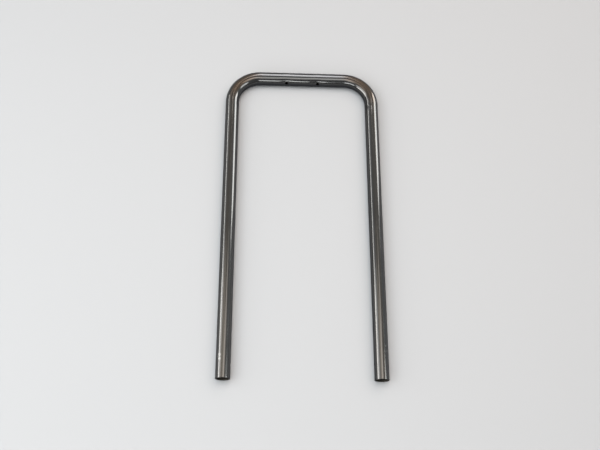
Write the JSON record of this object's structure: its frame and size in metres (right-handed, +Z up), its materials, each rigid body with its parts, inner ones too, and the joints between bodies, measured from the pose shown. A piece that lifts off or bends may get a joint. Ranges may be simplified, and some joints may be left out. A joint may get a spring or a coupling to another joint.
{
  "type": "u-shaped tube hoop",
  "caption": "U-shaped hoop bent from round steel tube, its open legs pierced near their ends and its crossbar pierced in shallow seats, for sockets, screws and bar grips.",
  "frame": {"origin": "on the resting plane, under the middle of the hoop's length and width", "axes": "+X across the two legs, +Y from the open ends to the crossbar, +Z up from the face it lies on"},
  "size_m": [0.219, 0.45, 0.019],
  "materials": {
    "dark_chrome": "polished"
  },
  "bodies": {
    "root": {"tube_hoop": "dark_chrome"}
  },
  "joints": []
}
